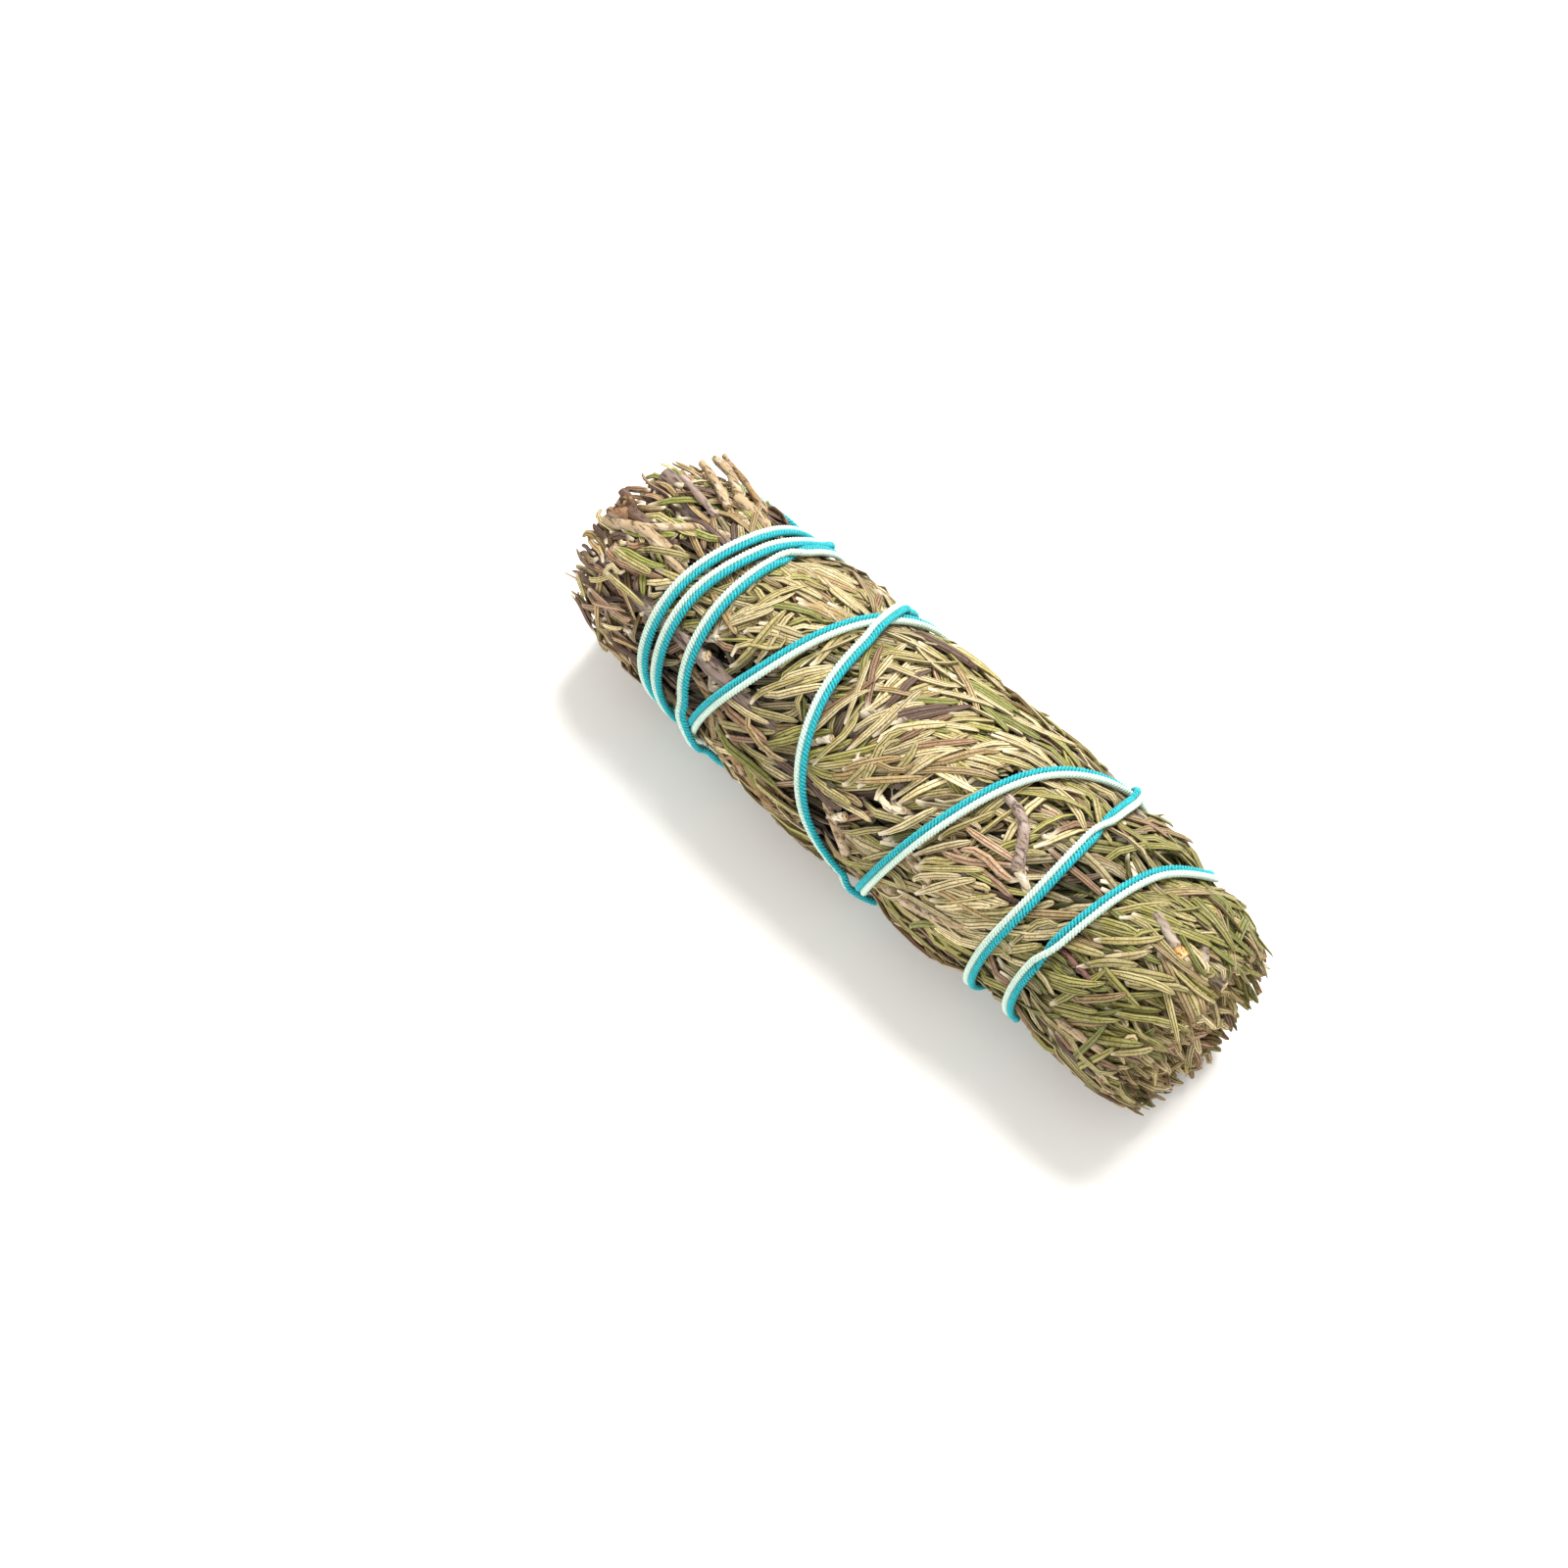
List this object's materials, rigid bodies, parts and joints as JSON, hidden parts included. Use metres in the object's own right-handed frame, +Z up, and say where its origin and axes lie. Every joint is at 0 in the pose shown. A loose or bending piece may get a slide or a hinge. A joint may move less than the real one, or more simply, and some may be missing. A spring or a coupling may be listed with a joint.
{
  "type": "bundle of dried rosemary",
  "caption": "Dried rosemary sprigs laid side by side, cut stems at one end, bound with a turquoise and a pale thread wound round together and knotted.",
  "frame": {"origin": "On the surface it lies on, under the middle of the bundle.", "axes": "+Z up. +X along the bundle from the cut stems to the tips. +Y across it."},
  "size_m": [0.1241, 0.0394, 0.0374],
  "materials": {
    "leaf": "dry, matt, olive to straw",
    "thread_turquoise": "twisted cotton",
    "thread_white": "twisted cotton"
  },
  "bodies": {
    "root": {"sprig_01": "leaf", "sprig_02": "leaf", "sprig_03": "leaf", "sprig_04": "leaf", "sprig_05": "leaf", "sprig_06": "leaf", "sprig_07": "leaf", "sprig_08": "leaf", "sprig_09": "leaf", "sprig_10": "leaf", "sprig_11": "leaf", "sprig_12": "leaf", "sprig_13": "leaf", "sprig_14": "leaf", "sprig_15": "leaf", "sprig_16": "leaf", "sprig_17": "leaf", "sprig_18": "leaf", "sprig_19": "leaf", "turquoise_thread": "thread_turquoise", "white_thread": "thread_white", "knot": "thread_turquoise", "turquoise_tail_a": "thread_turquoise", "turquoise_tail_b": "thread_turquoise", "white_tail_a": "thread_white", "white_tail_b": "thread_white"}
  },
  "joints": []
}
